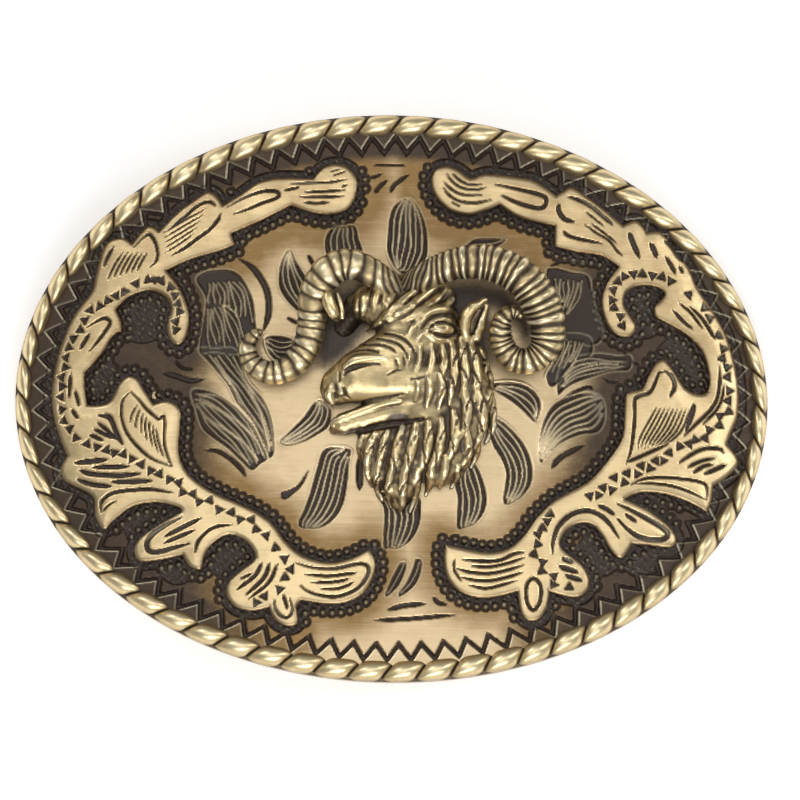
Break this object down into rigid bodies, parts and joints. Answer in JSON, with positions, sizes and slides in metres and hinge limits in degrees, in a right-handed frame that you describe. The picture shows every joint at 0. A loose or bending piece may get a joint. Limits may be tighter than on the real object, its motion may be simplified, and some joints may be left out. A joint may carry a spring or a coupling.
{
  "type": "belt buckle",
  "caption": "Oval western belt buckle with a raised ram's head, curled horns, leafy scrolls and a rope edge; a swinging wire bail and a stud behind take the belt.",
  "frame": {"origin": "middle of the buckle's bounding box in plan, at the height of the table it lies on", "axes": "+Z out of the buckle's face, +X along its long axis towards the hinge side, +Y to the top of the design"},
  "size_m": [0.095, 0.0716, 0.0196],
  "materials": {
    "plate_brass": "antiqued cast brass, dark in the hollows, brushed on the flats",
    "rope_brass": "cast brass, worn bright on the lobes",
    "scroll_brass": "cast brass, brushed tops and dark antiqued walls",
    "head_brass": "cast brass, polished high spots and dark cut lines",
    "horn_brass": "cast brass, ridges worn bright over dark grooves",
    "screw_metal": "nickel-plated screws and washers",
    "bracket_brass": "stamped brass, lightly tarnished",
    "bail_brass": "drawn brass wire, lightly tarnished",
    "stud_brass": "turned brass"
  },
  "bodies": {
    "buckle": {"face_plate": "plate_brass", "rope_border": "rope_brass", "scroll_left": "scroll_brass", "scroll_right": "scroll_brass", "ram_head": "head_brass", "horn_left": "horn_brass", "horn_right": "horn_brass", "head_screws": "screw_metal", "head_screw_washers": "screw_metal", "hinge_bracket": "bracket_brass", "bracket_screws": "screw_metal", "belt_stud": "stud_brass"},
    "bail": {"bail_loop": "bail_brass"}
  },
  "joints": [
    {"name": "bail_hinge", "type": "hinge", "parent": "buckle", "child": "bail", "pos_m": [0.017, 0, 0.0026], "axis": [0, 1, 0], "range_deg": [-5, 190]}
  ]
}
